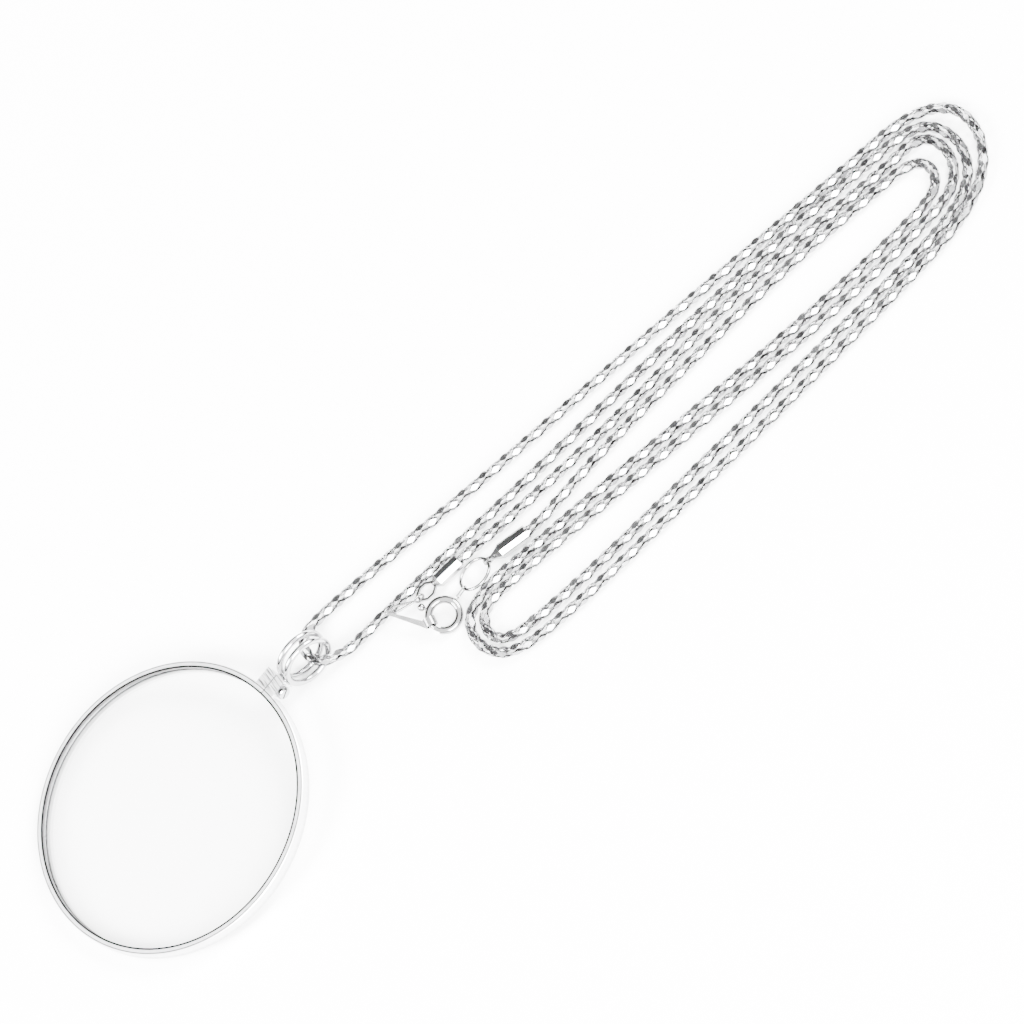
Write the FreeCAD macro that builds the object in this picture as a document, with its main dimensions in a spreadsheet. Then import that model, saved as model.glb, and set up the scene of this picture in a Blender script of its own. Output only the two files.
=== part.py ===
import FreeCAD, Part
import math
import os
import Sketcher

from FreeCAD import Placement, Rotation, Vector

# A magnifier pendant on a long hollow chain, laid down on a flat surface.
# Millimetres, +Z up, X along the folded chain, Y across it towards the far side.
# The origin is under the middle of the whole object, on the surface.

DOC = FreeCAD.newDocument("magnifier_pendant")

SIZES = {
    # place of the whole layout: moves the origin under the middle of the object
    "layout_x": 0.115, "layout_y": 0.58,
    # bezel: a split ring with a groove for the glass and two clamping lugs
    "bezel_radius": 23.25, "bezel_height": 2.3, "bezel_break": 0.15,
    "lip_radius": 22.2, "groove_depth": 0.55, "groove_low": 0.75, "groove_wide": 0.85,
    "lug_root": 22.9, "lug_end": 26.1, "lug_near": 1.9, "lug_far": 2.1,
    "split_wide": 0.2, "split_start": 21.5,
    # where the bezel lies, and how it leans on the bail
    "bezel_x": -68.8, "bezel_y": -0.57, "bezel_heading": 8.0,
    # glass
    "glass_radius": 22.65, "glass_edge": 0.7, "glass_rim": 22.1,
    "glass_top_rise": 1.45, "glass_back_rise": 0.6, "glass_seat": 0.07,
    # clamp screw
    "screw_x": 24.6, "screw_head_radius": 1.05, "screw_head_thick": 0.75,
    "screw_shank_radius": 0.5, "screw_reach": 1.7, "screw_gap": 0.05,
    "screw_slot_wide": 0.32, "screw_slot_deep": 0.35, "screw_break": 0.15, "screw_turn": 30.0,
    # bail: two rings side by side on one foot
    "bail_x": 30.65, "bail_far_y": -0.3, "bail_near_y": -2.1,
    "bail_ring_radius": 3.95, "bail_wire_radius": 0.5,
    "bail_foot_x": 26.28, "bail_foot_long": 0.82, "bail_foot_tall": 1.3,
    "bail_post_radius": 0.4, "bail_post_long": 0.6, "bail_post_y": -1.05, "bail_post_gap": 0.05,
    # chain
    "chain_wide": 1.75, "chain_rest": 0.9, "arc_share": 0.45,
    # end caps: folded octagonal sleeves over the chain's ends
    "cap_across": 2.3, "cap_bore_radius": 1.0, "cap_bore_deep": 2.6,
    "cap_seam": 0.14, "catch_cap_long": 4.3, "catch_cap_taper": 1.0,
    "ring_cap_long": 5.0, "ring_cap_taper": 1.9,
    "cap_neck_wide": 1.0, "cap_neck_thick": 0.5,
    "cap_eye_x": 6.8, "cap_eye_long": 1.7, "cap_eye_wide": 1.38, "cap_eye_corner": 0.6,
    "cap_eye_wire": 0.34, "cap_eye_thick": 0.38,
    "cap_tip_x": 7.52, "cap_tip_radius": 0.72, "cap_tip_hole": 0.54,
    "catch_cap_x": -11.0, "catch_cap_y": -1.05, "catch_cap_heading": 182.0,
    "ring_cap_x": -0.15, "ring_cap_y": -5.5, "ring_cap_heading": 173.3,
    # jump ring
    "jump_x": -10.35, "jump_y": -4.85, "jump_z": 1.2, "jump_heading": 10.0, "jump_lean": 20.0,
    "jump_radius": 2.75, "jump_wire_radius": 0.25,
    # spring ring: a hollow tube bent round, with a gap that a sprung bolt closes
    "clasp_x": -17.88, "clasp_y": -6.66, "clasp_heading": 13.0, "clasp_lean": 17.0,
    "clasp_radius": 2.4, "clasp_tube_radius": 0.6, "clasp_bore_radius": 0.42,
    "gap_start": 168.0, "gap_end": 205.0, "bore_start": 48.0, "bore_end": 216.0,
    "clasp_eye_thick": 0.2, "clasp_eye_outer": 0.78, "clasp_eye_inner": 0.58,
    "clasp_eye_near": 3.85, "clasp_eye_far": 4.75,
    # trigger: the bolt, its neck and its knob
    "bolt_radius": 0.36, "bolt_start": 98.0, "bolt_end": 211.0,
    "knob_turn": 108.0, "knob_radius": 0.6, "knob_reach": 3.75, "neck_radius": 0.2,
    "trigger_travel": 43.0, "slot_side_gap": 0.06,
    # catch link: a tongue that wraps the clasp, and a long loop through the cap's eye
    "link_turn": 153.0, "link_wrap_inner": 0.8, "link_strip": 0.22, "link_strip_wide": 1.3,
    "link_vertex_x": -24.5, "link_vertex_y": -0.1, "link_vertex_z": 2.3,
    "link_vertex_wide": 0.6, "link_tongue_thick": 0.3, "link_knuckle": 0.34,
    "link_bar_radius": 0.18, "link_bulge": 0.55, "link_bulge_at": 0.28,
    "link_loop_radius": 0.74, "link_loop_wire": 0.19,
}

SHEET = DOC.addObject("Spreadsheet::Sheet", "Sizes")
for row, (alias, number) in enumerate(SIZES.items(), start=1):
    SHEET.set(f"A{row}", alias)
    SHEET.set(f"B{row}", str(number))
    SHEET.setAlias(f"B{row}", alias)
DOC.recompute()


class Dim:
    """A length or angle that keeps its value and the sheet formula it comes from."""

    def __init__(self, value, text):
        self.value = float(value)
        self.text = text

    @staticmethod
    def of(other):
        return other if isinstance(other, Dim) else Dim(other, repr(float(other)))

    def __add__(self, other):
        other = Dim.of(other)
        return Dim(self.value + other.value, f"({self.text} + {other.text})")

    def __sub__(self, other):
        other = Dim.of(other)
        return Dim(self.value - other.value, f"({self.text} - {other.text})")

    def __mul__(self, other):
        other = Dim.of(other)
        return Dim(self.value * other.value, f"({self.text} * {other.text})")

    __radd__ = __add__
    __rmul__ = __mul__

    def __neg__(self):
        return self * -1.0


def dim(alias):
    """The sheet's value under this alias, bound to its cell."""
    return Dim(SHEET.get(alias), f"Sizes.{alias}")


def size(alias):
    """The sheet's value under this alias as a plain number."""
    return float(SHEET.get(alias))


def bind(thing, prop, length):
    """Give a property its value and tie it to the sheet."""
    length = Dim.of(length)
    setattr(thing, prop, length.value)
    if "Sizes." in length.text:
        thing.setExpression(prop, length.text)


# Sketches and features

def new_body(label):
    body = DOC.addObject("PartDesign::Body", label)
    body.Label = label
    return body


def new_sketch(body, role, name, offset=0.0):
    """A sketch on one of the body's own planes, lifted by the offset."""
    sketch = body.newObject("Sketcher::SketchObject", name)
    plane = next(item for item in body.Origin.OriginFeatures if item.Role == role)
    sketch.AttachmentSupport = [(plane, "")]
    sketch.MapMode = "FlatFace"
    offset = Dim.of(offset)
    sketch.AttachmentOffset = Placement(Vector(0, 0, offset.value), Rotation())
    if "Sizes." in offset.text:
        sketch.setExpression(".AttachmentOffset.Base.z", offset.text)
    return sketch


def pin(sketch, edge, end, x_dim, y_dim):
    """Hold one end of an edge at sheet-driven coordinates."""
    for kind, length in (("DistanceX", Dim.of(x_dim)), ("DistanceY", Dim.of(y_dim))):
        index = sketch.addConstraint(Sketcher.Constraint(kind, edge, end, length.value))
        if "Sizes." in length.text:
            sketch.setExpression(f"Constraints[{index}]", length.text)


def draw_outline(sketch, corners):
    """A closed outline of straight edges through sheet-driven corners."""
    points = [(Dim.of(x), Dim.of(y)) for x, y in corners]
    first = sketch.GeometryCount
    for here, there in zip(points, points[1:] + points[:1]):
        start = Vector(here[0].value, here[1].value, 0)
        finish = Vector(there[0].value, there[1].value, 0)
        sketch.addGeometry(Part.LineSegment(start, finish), False)
    count = len(points)
    for step in range(count):
        after = first + (step + 1) % count
        sketch.addConstraint(Sketcher.Constraint("Coincident", first + step, 2, after, 1))
        pin(sketch, first + step, 1, *points[step])


def draw_circle(sketch, x_dim, y_dim, radius):
    """A circle with sheet-driven centre and radius."""
    x_dim, y_dim, radius = Dim.of(x_dim), Dim.of(y_dim), Dim.of(radius)
    centre = Vector(x_dim.value, y_dim.value, 0)
    edge = sketch.addGeometry(Part.Circle(centre, Vector(0, 0, 1), radius.value), False)
    pin(sketch, edge, 3, x_dim, y_dim)
    index = sketch.addConstraint(Sketcher.Constraint("Radius", edge, radius.value))
    sketch.setExpression(f"Constraints[{index}]", radius.text)


def box_corners(x_low, x_high, y_low, y_high):
    return [(x_low, y_low), (x_high, y_low), (x_high, y_high), (x_low, y_high)]


def octagon(half_wide, half_tall, corner):
    """Corners of an octagon with its flats up, down and to the sides."""
    return [
        (half_wide, -corner), (half_wide, corner), (corner, half_tall), (-corner, half_tall),
        (-half_wide, corner), (-half_wide, -corner), (-corner, -half_tall), (corner, -half_tall),
    ]


def feature(body, kind, name, sketch, **values):
    """A sketch-based feature whose keyword values are bound to the sheet."""
    made = body.newObject("PartDesign::" + kind, name)
    made.Profile = sketch
    for prop, value in values.items():
        if isinstance(value, (Dim, float)):
            bind(made, prop, value)
        else:
            setattr(made, prop, value)
    return made


def cut_check(body, before, what):
    """Make sure that a cut has really taken material away."""
    DOC.recompute()
    if not body.Shape.Volume < before - 1e-6:
        raise RuntimeError(what + " cut nothing")


# Placements

LAYOUT = Vector(size("layout_x"), size("layout_y"), 0)


def turned(heading, lean_axis, lean):
    """A heading about Z after a lean about one local axis, in degrees."""
    return Rotation(Vector(0, 0, 1), heading).multiply(Rotation(lean_axis, lean))


def pendant_placement():
    """The bezel stands on its far rim and on the bail's rings, so it leans by a few degrees."""
    rim = size("bezel_radius") - size("bezel_break")
    ring = size("bail_ring_radius") + size("bail_wire_radius")
    middle = size("bezel_height") / 2
    run = size("bail_x") + rim
    reach = math.hypot(run, middle)
    lean = math.degrees(math.asin(ring / reach) - math.atan2(middle, run))
    turn = turned(size("bezel_heading"), Vector(0, 1, 0), -lean)
    lift = rim * math.sin(math.radians(lean))
    return Placement(Vector(size("bezel_x"), size("bezel_y"), lift) + LAYOUT, turn)


def clasp_placement():
    """The spring ring stands on its near side and leans back on its far one."""
    lean = size("clasp_lean")
    turn = turned(size("clasp_heading"), Vector(1, 0, 0), lean)
    lift = size("clasp_tube_radius") + size("clasp_radius") * math.sin(math.radians(lean))
    return Placement(Vector(size("clasp_x"), size("clasp_y"), lift) + LAYOUT, turn)


PENDANT = pendant_placement()
CLASP = clasp_placement()


# Bezel, glass and screw

def make_bezel():
    body = new_body("bezel")
    outer, lip, brk = dim("bezel_radius"), dim("lip_radius"), dim("bezel_break")
    tall, low = dim("bezel_height"), dim("groove_low")
    high, deep = low + dim("groove_wide"), lip + dim("groove_depth")

    section = new_sketch(body, "XZ_Plane", "bezel_section")
    draw_outline(section, [
        (lip, 0), (outer - brk, 0), (outer, brk), (outer, tall - brk), (outer - brk, tall),
        (lip, tall), (lip, high), (deep, high), (deep, low), (lip, low),
    ])
    feature(body, "Revolution", "bezel_ring", section, ReferenceAxis=(section, ["V_Axis"]), Angle=360.0)

    lugs = new_sketch(body, "XY_Plane", "lug_outline")
    draw_outline(lugs, box_corners(dim("lug_root"), dim("lug_end"), -dim("lug_near"), dim("lug_far")))
    feature(body, "Pad", "lugs", lugs, Length=tall)
    DOC.recompute()

    solid_volume = body.Shape.Volume
    split = new_sketch(body, "XY_Plane", "split_outline", tall)
    half = dim("split_wide") * 0.5
    draw_outline(split, box_corners(dim("split_start"), dim("lug_end") + 1.0, -half, half))
    feature(body, "Pocket", "split", split, Length=tall)
    cut_check(body, solid_volume, "the split")

    split_volume = body.Shape.Volume
    hole = new_sketch(body, "XZ_Plane", "screw_hole", dim("lug_near") + 1.0)
    draw_circle(hole, dim("screw_x"), tall * 0.5, dim("screw_shank_radius") + dim("screw_gap"))
    feature(body, "Pocket", "screw_bore", hole, Length=dim("lug_near") + dim("lug_far") + 2.0)
    cut_check(body, split_volume, "the screw's hole")

    bored_volume = body.Shape.Volume
    socket = new_sketch(body, "YZ_Plane", "bail_socket", dim("lug_end"))
    draw_circle(socket, dim("bail_post_y"), tall * 0.5, dim("bail_post_radius") + dim("bail_post_gap"))
    feature(body, "Pocket", "bail_seat", socket, Length=dim("bail_post_long") + dim("bail_post_gap"))
    cut_check(body, bored_volume, "the bail's socket")
    body.Placement = PENDANT
    return body


def make_lens():
    """A clear glass, more domed in front than behind, with a flat rim in the bezel's groove."""
    body = new_body("lens")
    edge, rim = dim("glass_radius"), dim("glass_rim")
    low = dim("groove_low") + dim("glass_seat")
    high = low + dim("glass_edge")
    sketch = new_sketch(body, "XZ_Plane", "glass_section")

    def dome(rise):
        return (rim.value ** 2 + rise ** 2) / (2 * rise)

    front, back = dim("glass_top_rise"), dim("glass_back_rise")
    top = high + front
    bottom = low - back
    lines = [
        ((0.0, bottom), (0.0, top)),
        ((rim, high), (edge, high)),
        ((edge, high), (edge, low)),
        ((edge, low), (rim, low)),
    ]
    for start, finish in lines:
        ends = [Vector(Dim.of(x).value, Dim.of(y).value, 0) for x, y in (start, finish)]
        index = sketch.addGeometry(Part.LineSegment(*ends), False)
        pin(sketch, index, 1, *start)
        pin(sketch, index, 2, *finish)
    for apex, side, height, rise in ((top, 1, high, front), (bottom, -1, low, back)):
        radius = dome(rise.value)
        centre = Vector(0, apex.value - side * radius, 0)
        half = math.asin(rim.value / radius)
        middle = side * math.pi / 2
        angles = (middle - half, middle) if side > 0 else (middle, middle + half)
        arc = Part.ArcOfCircle(Part.Circle(centre, Vector(0, 0, 1), radius), *angles)
        index = sketch.addGeometry(arc, False)
        on_axis, on_rim = (2, 1) if side > 0 else (1, 2)
        pin(sketch, index, on_axis, 0.0, apex)
        pin(sketch, index, on_rim, rim, height)
        sketch.addConstraint(Sketcher.Constraint("PointOnObject", index, 3, -2))
    feature(body, "Revolution", "glass", sketch, ReferenceAxis=(sketch, ["V_Axis"]), Angle=360.0)
    body.Placement = PENDANT
    return body


def make_screw():
    """The slotted screw that draws the lugs together; its head is on the near lug."""
    body = new_body("clamp_screw")
    head, thick, brk = dim("screw_head_radius"), dim("screw_head_thick"), dim("screw_break")
    shank = dim("screw_shank_radius")
    reach = dim("screw_reach") + dim("lug_near") + dim("screw_gap")
    section = new_sketch(body, "XZ_Plane", "screw_section")
    draw_outline(section, [
        (0, -reach), (shank, -reach), (shank, 0), (head, 0),
        (head, thick - brk), (head - brk, thick), (0, thick),
    ])
    feature(body, "Revolution", "screw", section, ReferenceAxis=(section, ["V_Axis"]), Angle=360.0)
    DOC.recompute()
    whole = body.Shape.Volume
    slot = new_sketch(body, "XY_Plane", "slot_outline", thick)
    half = dim("screw_slot_wide") * 0.5
    draw_outline(slot, box_corners(-head - 1.0, head + 1.0, -half, half))
    feature(body, "Pocket", "slot", slot, Length=dim("screw_slot_deep"))
    cut_check(body, whole, "the screw's slot")
    seat = Vector(size("screw_x"), -size("lug_near") - size("screw_gap"), size("bezel_height") / 2)
    turn = Rotation(Vector(1, 0, 0), 90).multiply(Rotation(Vector(0, 0, 1), size("screw_turn")))
    body.Placement = PENDANT.multiply(Placement(seat, turn))
    return body


# Primitives and booleans

def primitive(kind, name, place, **values):
    made = DOC.addObject("Part::" + kind, name)
    for prop, value in values.items():
        bind(made, prop, value)
    made.Placement = place
    return made


def fuse(label, pieces, place=None):
    made = DOC.addObject("Part::MultiFuse", label)
    made.Shapes = pieces
    made.Label = label
    if place is not None:
        made.Placement = place
    return made


def cut(label, base, tool, place=None):
    made = DOC.addObject("Part::Cut", label)
    made.Base = base
    made.Tool = tool
    made.Label = label
    if place is not None:
        made.Placement = place
    return made


def torus_sector(name, ring_radius, wire_radius, start, end):
    """Part of a torus about Z, from one angle round to the other."""
    sweep = end - start
    place = Placement(Vector(), Rotation(Vector(0, 0, 1), start.value))
    return primitive("Torus", name, place, Radius1=ring_radius, Radius2=wire_radius, Angle3=sweep)


def make_bail():
    """Two wire rings, side by side on a foot whose post sits in the near lug."""
    side_on = Rotation(Vector(1, 0, 0), 90)
    middle = size("bezel_height") / 2
    rings = []
    for name, alias in (("bail_far_ring", "bail_far_y"), ("bail_near_ring", "bail_near_y")):
        place = Placement(Vector(size("bail_x"), size(alias), middle), side_on)
        rings.append(primitive("Torus", name, place, Radius1=dim("bail_ring_radius"),
                               Radius2=dim("bail_wire_radius")))
    wide = dim("bail_far_y") - dim("bail_near_y")
    corner = Vector(size("bail_foot_x"), size("bail_near_y"), middle - size("bail_foot_tall") / 2)
    foot = primitive("Box", "bail_foot", Placement(corner, Rotation()), Length=dim("bail_foot_long"),
                     Width=wide, Height=dim("bail_foot_tall"))
    lay = Rotation(Vector(0, 1, 0), 90)
    start = Vector(size("lug_end") - size("bail_post_long"), size("bail_post_y"), middle)
    reach = dim("bail_post_long") + dim("bail_foot_long")
    post = primitive("Cylinder", "bail_post", Placement(start, lay), Radius=dim("bail_post_radius"),
                     Height=reach)
    return fuse("bail", rings + [foot, post], PENDANT)


def make_jump_ring():
    """The jump ring leans on the chain's near strand and hangs through the eye and the holed tip."""
    turn = turned(size("jump_heading"), Vector(1, 0, 0), -size("jump_lean"))
    place = Placement(Vector(size("jump_x"), size("jump_y"), size("jump_z")) + LAYOUT, turn)
    ring = primitive("Torus", "jump_ring", place, Radius1=dim("jump_radius"), Radius2=dim("jump_wire_radius"))
    ring.Label = "jump_ring"
    return ring


def make_spring_ring():
    """The clasp's tube with its bore, the slot for the trigger's neck and the long eye."""
    ring, tube, bore = dim("clasp_radius"), dim("clasp_tube_radius"), dim("clasp_bore_radius")
    shell = torus_sector("clasp_tube", ring, tube, dim("gap_end"), dim("gap_start") + 360.0)
    bolt_bore = torus_sector("clasp_bore", ring, bore, dim("bore_start"), dim("bore_end"))

    half_neck = size("neck_radius") + size("slot_side_gap")
    side = math.degrees(half_neck / size("clasp_radius"))
    slot_start = size("knob_turn") - size("trigger_travel") - side
    slot_sweep = size("trigger_travel") + 2 * side
    lift = Vector(0, 0, -half_neck)
    turn = Rotation(Vector(0, 0, 1), slot_start)
    outer = primitive("Cylinder", "slot_outer", Placement(lift, turn), Radius=ring + tube * 2.0,
                      Height=2 * half_neck, Angle=slot_sweep)
    inner = primitive("Cylinder", "slot_inner", Placement(lift, Rotation()), Radius=ring,
                      Height=2 * half_neck)
    slot = cut("neck_slot", outer, inner)

    eye_turn = Rotation(Vector(1, 0, 0), 90)
    thick = dim("clasp_eye_thick")
    side_step = Vector(0, size("clasp_eye_thick") / 2, 0)

    def stadium(name, radius, near, far):
        """An upright plate with a round outer end, along the eye's direction."""
        half = radius.value
        box_corner = Vector(near.value, -size("clasp_eye_thick") / 2, -half)
        flat = primitive("Box", name + "_flat", Placement(box_corner, Rotation()),
                         Length=far - near, Width=thick, Height=radius * 2.0)
        ends = [primitive("Cylinder", f"{name}_end_{count}",
                          Placement(Vector(at.value, 0, 0) + side_step, eye_turn),
                          Radius=radius, Height=thick)
                for count, at in enumerate((near, far))]
        return fuse(name, [flat] + ends)

    near, far = dim("clasp_eye_near"), dim("clasp_eye_far")
    plate = stadium("eye_plate", dim("clasp_eye_outer"), near - 0.3, far)
    window = stadium("eye_window", dim("clasp_eye_inner"), near, far)
    eye = cut("clasp_eye", plate, window)
    body = fuse("clasp_body", [shell, eye])
    hollows = fuse("clasp_hollows", [bolt_bore, slot])
    return cut("spring_ring", body, hollows, CLASP)


def make_trigger():
    """The curved bolt that closes the gap, with the neck and knob that draw it back."""
    bolt = torus_sector("bolt", dim("clasp_radius"), dim("bolt_radius"), dim("bolt_start"), dim("bolt_end"))
    turn = Rotation(Vector(0, 0, 1), size("knob_turn"))
    out = turn.multVec(Vector(1, 0, 0))
    lay = turn.multiply(Rotation(Vector(0, 1, 0), 90))
    neck = primitive("Cylinder", "neck", Placement(out * size("clasp_radius"), lay),
                     Radius=dim("neck_radius"), Height=dim("knob_reach") - dim("clasp_radius"))
    knob = primitive("Sphere", "knob", Placement(out * size("knob_reach"), turn), Radius=dim("knob_radius"))
    return fuse("trigger", [bolt, neck, knob], CLASP)


# End caps

# the neck's width and height, across and up, at the small end of each cap's taper
NECK_SIDES = {
    "end_cap_catch": ("cap_neck_wide", "cap_neck_thick"),
    "end_cap_ring": ("cap_neck_thick", "cap_neck_wide"),
}


def cap_sleeve(body, long_name, taper_name, seam_side):
    """An octagonal sleeve, open at the mouth, with its seam on one side, that tapers to a flat neck."""
    half = dim("cap_across") * 0.5
    corner = half * math.tan(math.radians(22.5))
    long, taper = dim(long_name), dim(taper_name)
    mouth = new_sketch(body, "YZ_Plane", body.Label + "_mouth")
    draw_outline(mouth, octagon(half, half, corner))
    feature(body, "Pad", body.Label + "_sleeve", mouth, Length=long)
    DOC.recompute()

    shoulder = new_sketch(body, "YZ_Plane", body.Label + "_shoulder", long)
    draw_outline(shoulder, octagon(half, half, corner))
    neck = new_sketch(body, "YZ_Plane", body.Label + "_neck", long + taper)
    neck_wide, neck_tall = dim(NECK_SIDES[body.Label][0]) * 0.5, dim(NECK_SIDES[body.Label][1]) * 0.5
    neck_corner = dim("cap_neck_thick") * 0.2
    draw_outline(neck, octagon(neck_wide, neck_tall, neck_corner))
    loft = feature(body, "AdditiveLoft", body.Label + "_taper", shoulder, Ruled=True)
    loft.Sections = [neck]
    DOC.recompute()

    whole = body.Shape.Volume
    bore = new_sketch(body, "YZ_Plane", body.Label + "_bore_outline")
    draw_circle(bore, 0.0, 0.0, dim("cap_bore_radius"))
    feature(body, "Pocket", body.Label + "_bore", bore, Length=dim("cap_bore_deep"), Reversed=True)
    cut_check(body, whole, "the cap's bore")

    bored = body.Shape.Volume
    seam = new_sketch(body, "XZ_Plane", body.Label + "_seam_outline", half * -seam_side)
    edge = dim("cap_seam") * 0.5
    draw_outline(seam, box_corners(-1.0, long - edge, corner - edge, corner + edge))
    feature(body, "Pocket", body.Label + "_seam", seam, Length=half * 0.5, Reversed=seam_side > 0)
    cut_check(body, bored, "the cap's seam")


def cap_placement(prefix):
    """A cap lies on the surface, with its mouth at the sheet's place."""
    turn = Rotation(Vector(0, 0, 1), size(prefix + "_heading"))
    height = size("cap_across") / 2
    return Placement(Vector(size(prefix + "_x"), size(prefix + "_y"), height) + LAYOUT, turn)


def make_catch_cap():
    """The cap on the catch's side, with a flat eight-sided eye."""
    body = new_body("end_cap_catch")
    cap_sleeve(body, "catch_cap_long", "catch_cap_taper", -1.0)
    middle, thick, wire = dim("cap_eye_x"), dim("cap_eye_thick"), dim("cap_eye_wire")
    long, wide, corner = dim("cap_eye_long"), dim("cap_eye_wide"), dim("cap_eye_corner")
    eye = new_sketch(body, "XY_Plane", "eye_outline", thick * -0.5)
    draw_outline(eye, [(middle + x, y) for x, y in octagon(long, wide, corner)])
    inner_corner = corner - wire * math.tan(math.radians(22.5))
    draw_outline(eye, [(middle + x, y) for x, y in octagon(long - wire, wide - wire, inner_corner)])
    feature(body, "Pad", "eye", eye, Length=thick)
    body.Placement = cap_placement("catch_cap")
    return body


def make_ring_cap():
    """The cap on the jump ring's side, with an upright holed tip."""
    body = new_body("end_cap_ring")
    cap_sleeve(body, "ring_cap_long", "ring_cap_taper", 1.0)
    thick, tip, radius = dim("cap_neck_thick"), dim("cap_tip_x"), dim("cap_tip_radius")
    start = dim("ring_cap_long") + dim("ring_cap_taper") - 0.2
    plate = new_sketch(body, "XZ_Plane", "tip_plate_outline", thick * -0.5)
    half = dim("cap_neck_wide") * 0.5
    draw_outline(plate, box_corners(start, tip, -half, half))
    feature(body, "Pad", "tip_plate", plate, Length=thick)
    rounding = new_sketch(body, "XZ_Plane", "tip_round_outline", thick * -0.5)
    draw_circle(rounding, tip, 0.0, radius)
    feature(body, "Pad", "tip_round", rounding, Length=thick)
    DOC.recompute()
    whole = body.Shape.Volume
    hole = new_sketch(body, "XZ_Plane", "tip_hole_outline", thick)
    draw_circle(hole, tip, 0.0, dim("cap_tip_hole"))
    feature(body, "Pocket", "tip_hole", hole, Length=thick * 2.0)
    cut_check(body, whole, "the tip's hole")
    body.Placement = cap_placement("ring_cap")
    return body


# Catch link

def rod(start, finish, radius):
    """A round bar with ball ends."""
    along = finish - start
    shapes = [Part.makeSphere(radius, start), Part.makeSphere(radius, finish)]
    return Part.makeCylinder(radius, along.Length, start, along).multiFuse(shapes)


def make_catch_link():
    """A folded strip: a tongue wrapped round the clasp, and a long loop through the cap's eye."""
    turn = math.radians(size("link_turn"))
    centre = CLASP.multVec(Vector(math.cos(turn), math.sin(turn), 0) * size("clasp_radius"))
    along = CLASP.Rotation.multVec(Vector(-math.sin(turn), math.cos(turn), 0))
    vertex = Vector(size("link_vertex_x"), size("link_vertex_y"), size("link_vertex_z")) + LAYOUT

    inner, strip, wide = size("link_wrap_inner"), size("link_strip"), size("link_strip_wide")
    wrap_start = centre - along * (wide / 2)
    wrap = Part.makeCylinder(inner + strip, wide, wrap_start, along)
    hollow = Part.makeCylinder(inner, wide * 1.2, centre - along * (wide * 0.6), along)
    wrap = wrap.cut(hollow)

    towards = vertex - centre
    towards = (towards - along * towards.dot(along)).normalize()
    root = centre + towards * (inner + strip / 2)
    narrow, thick = size("link_vertex_wide") / 2, size("link_tongue_thick")
    corners = [root - along * (wide / 2), root + along * (wide / 2), vertex + along * narrow,
               vertex - along * narrow]
    normal = (corners[1] - corners[0]).cross(corners[2] - corners[1]).normalize()
    outline = [corner - normal * (thick / 2) for corner in corners]
    tongue = Part.Face(Part.makePolygon(outline + outline[:1])).extrude(normal * thick)
    tongue = tongue.cut(hollow)

    eye_place = cap_placement("catch_cap")
    eye_end = size("cap_eye_x") + size("cap_eye_long") - size("cap_eye_wire") / 2
    loop_centre = eye_place.multVec(Vector(eye_end, 0, 0))
    loop_axis = eye_place.Rotation.multVec(Vector(0, 1, 0))
    ring, wire = size("link_loop_radius"), size("link_loop_wire")
    loop = Part.makeTorus(ring, wire, loop_centre, loop_axis)
    leg = vertex - loop_centre
    flat_leg = (leg - loop_axis * leg.dot(loop_axis)).normalize()
    tip = loop_centre + flat_leg * ring
    across = Vector(0, 0, 1).cross(leg).normalize()
    bars = []
    for side in (1, -1):
        bulge = vertex + (tip - vertex) * size("link_bulge_at") + across * (side * size("link_bulge"))
        bars += [rod(vertex, bulge, size("link_bar_radius")), rod(bulge, tip, size("link_bar_radius"))]
    knuckle = Part.makeSphere(size("link_knuckle"), vertex)
    shape = wrap.multiFuse([tongue, knuckle, loop] + bars).removeSplitter()
    link = DOC.addObject("Part::Feature", "catch_link")
    link.Label = "catch_link"
    link.Shape = shape.Solids[0]
    link.Placement = Placement()
    return link


# Chain: the hollow chain's outer form, in two lengths that meet inside the bail

REST = size("chain_rest")
CATCH_LENGTH = [
    (-12.6, -1.1, 1.15), (-9.0, -1.0, 1.13), (-3.0, -1.3, 0.95), (7.8, -1.3), (23.7, -0.8),
    (44.6, 1.0), (61.4, 0.8), (75.7, -0.1), (83.9, 0.4), (86.0, -5.3), (83.1, -10.8),
    (75.7, -12.2), (60.8, -12.9), (39.1, -12.1), (11.4, -10.8), (-4.4, -10.0), (-12.4, -9.9),
    (-14.7, -14.0), (-12.7, -17.5), (-5.8, -18.1), (7.1, -18.1), (30.9, -17.1), (54.7, -16.0),
    (66.6, -15.6), (79.1, -14.5), (85.9, -11.3), (88.2, -4.5), (85.0, 2.4), (73.3, 2.7),
    (59.5, 3.3), (35.8, 2.9), (10.0, 1.8), (-8.0, 1.45), (-19.5, 1.0), (-27.0, 0.8),
    (-32.5, 0.1, 1.3), (-36.7, 0.7, 2.6), (-38.3, 3.5, 2.6), (-37.6, 5.4, 2.25),
]
RING_LENGTH = [
    (-37.6, 5.4, 2.25), (-36.9, 7.3, 1.9), (-33.0, 8.35, 1.15), (-27.2, 8.35), (-17.0, 8.0),
    (1.5, 6.95), (33.9, 6.3), (57.6, 5.3), (71.4, 4.7), (84.3, 4.6), (90.6, 0.4), (91.3, -6.2),
    (87.7, -12.5), (80.0, -16.2), (66.5, -17.7), (42.7, -19.3), (16.9, -20.4), (-2.9, -21.0),
    (-13.3, -20.1), (-16.8, -15.4), (-15.8, -9.7), (-9.9, -7.5), (-1.4, -8.1), (13.5, -8.4),
    (37.2, -9.8), (56.0, -10.4), (71.8, -10.2), (80.0, -9.4), (82.4, -5.8), (80.4, -2.2),
    (72.2, -1.9), (57.4, -1.2), (35.5, -2.3), (16.4, -3.5), (6.6, -4.9, 0.96),
    (1.6, -5.65, 1.13), (-1.4, -5.35, 1.15),
]


def route_point(point):
    """A point of the route; those with no height of their own lie on the surface."""
    height = point[2] if len(point) == 3 else REST
    return Vector(point[0], point[1], height) + LAYOUT


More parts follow.
